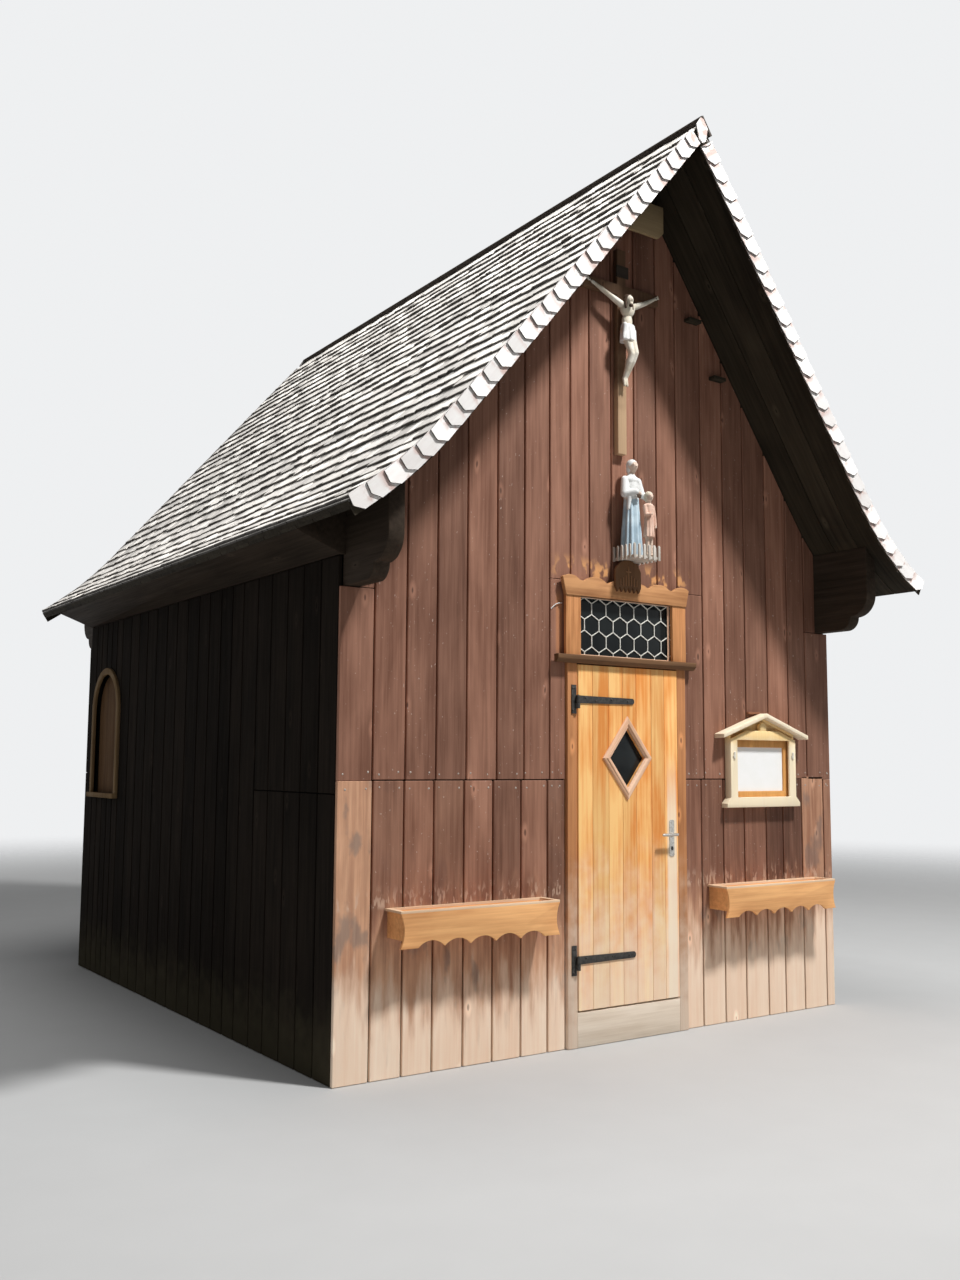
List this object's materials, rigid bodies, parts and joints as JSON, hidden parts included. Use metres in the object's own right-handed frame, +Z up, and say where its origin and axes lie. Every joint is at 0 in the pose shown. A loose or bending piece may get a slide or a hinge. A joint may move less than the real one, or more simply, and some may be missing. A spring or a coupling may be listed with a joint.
{
  "type": "small wooden chapel",
  "caption": "Small wooden chapel with a steep flared shingle roof, a hinged front door, a leaded transom window, carved figures and flower boxes.",
  "frame": {"origin": "on the ground plane, in the middle of the footprint of the four walls", "axes": "+Z up, the front with the door faces -Y, +X to the right of someone facing the door"},
  "size_m": [4.45, 5.38, 5.5512],
  "materials": {
    "facade_wood": "reddish brown vertical boards, bleached near the ground",
    "dark_wood": "near-black brown weathered boards",
    "inner_wood": "plain planed boards",
    "window_wood": "light brown planed frame",
    "shutter_wood": "brown vertical grain panel",
    "soffit_wood": "dark brown rough boards with knots",
    "shingle": "silver-grey weathered split shingles",
    "ridge_wood": "dark weathered boards",
    "frame_wood": "orange-brown stained frame, paler at the foot",
    "casing_wood": "orange-brown varnished boards",
    "door_wood": "honey-orange varnished boards, paler at the foot",
    "dark_glass": "dark leaded glass",
    "wrought_iron": "black hand-forged iron",
    "handle_steel": "dull light steel",
    "cross_wood": "brown planed timber, lighter at the foot",
    "ivory_paint": "carved limewood, ivory paint",
    "robe_paint": "carved limewood, pale blue and white paint",
    "child_paint": "carved limewood, pale salmon and cream paint",
    "pale_board": "pale bare board",
    "pine": "pale yellow pine",
    "box_wood": "orange-brown stained boards with a paler rim"
  },
  "bodies": {
    "building": {"floor": "inner_wood", "front_wall_left": "facade_wood", "front_wall_right": "facade_wood", "front_gable": "facade_wood", "rear_wall": "dark_wood", "rear_gable": "dark_wood", "left_wall": "dark_wood", "right_wall": "dark_wood", "left_window_frame": "window_wood", "right_window_frame": "window_wood", "left_window_panel": "shutter_wood", "right_window_panel": "shutter_wood", "left_eave_soffit": "soffit_wood", "right_eave_soffit": "soffit_wood", "left_plate": "soffit_wood", "right_plate": "soffit_wood", "roof_left": "shingle", "roof_right": "shingle", "verge_left": "shingle", "verge_right": "shingle", "ridge_cap": "ridge_wood", "ridge_purlin": "soffit_wood", "door_posts": "frame_wood", "threshold": "frame_wood", "door_cap": "frame_wood", "transom_head": "frame_wood", "transom_casing": "casing_wood", "transom_glass": "dark_glass", "hinge_pins": "wrought_iron", "cross": "cross_wood", "corpus": "ivory_paint", "console": "soffit_wood", "statue_platform": "soffit_wood", "adult_statue": "robe_paint", "child_statue": "child_paint", "gable_board": "pale_board", "notice_case": "pine", "notice_roof": "pine", "notice_door": "pine", "flower_box_left": "box_wood", "flower_box_right": "box_wood"},
    "door": {"door_leaf": "door_wood", "diamond_frame": "casing_wood", "diamond_glass": "dark_glass", "strap_hinges": "wrought_iron", "handle_plates": "handle_steel"},
    "door_lever": {"lever": "handle_steel"}
  },
  "joints": [
    {"name": "door_hinge", "type": "hinge", "parent": "building", "child": "door", "pos_m": [-0.365, -2.204, 1.245], "axis": [0, 0, -1], "range_deg": [0, 105]},
    {"name": "lever_turn", "type": "hinge", "parent": "door", "child": "door_lever", "pos_m": [0.388, -2.19, 1.191], "axis": [0, -1, 0], "range_deg": [0, 40], "stiffness_Nm_per_rad": 1.2}
  ]
}
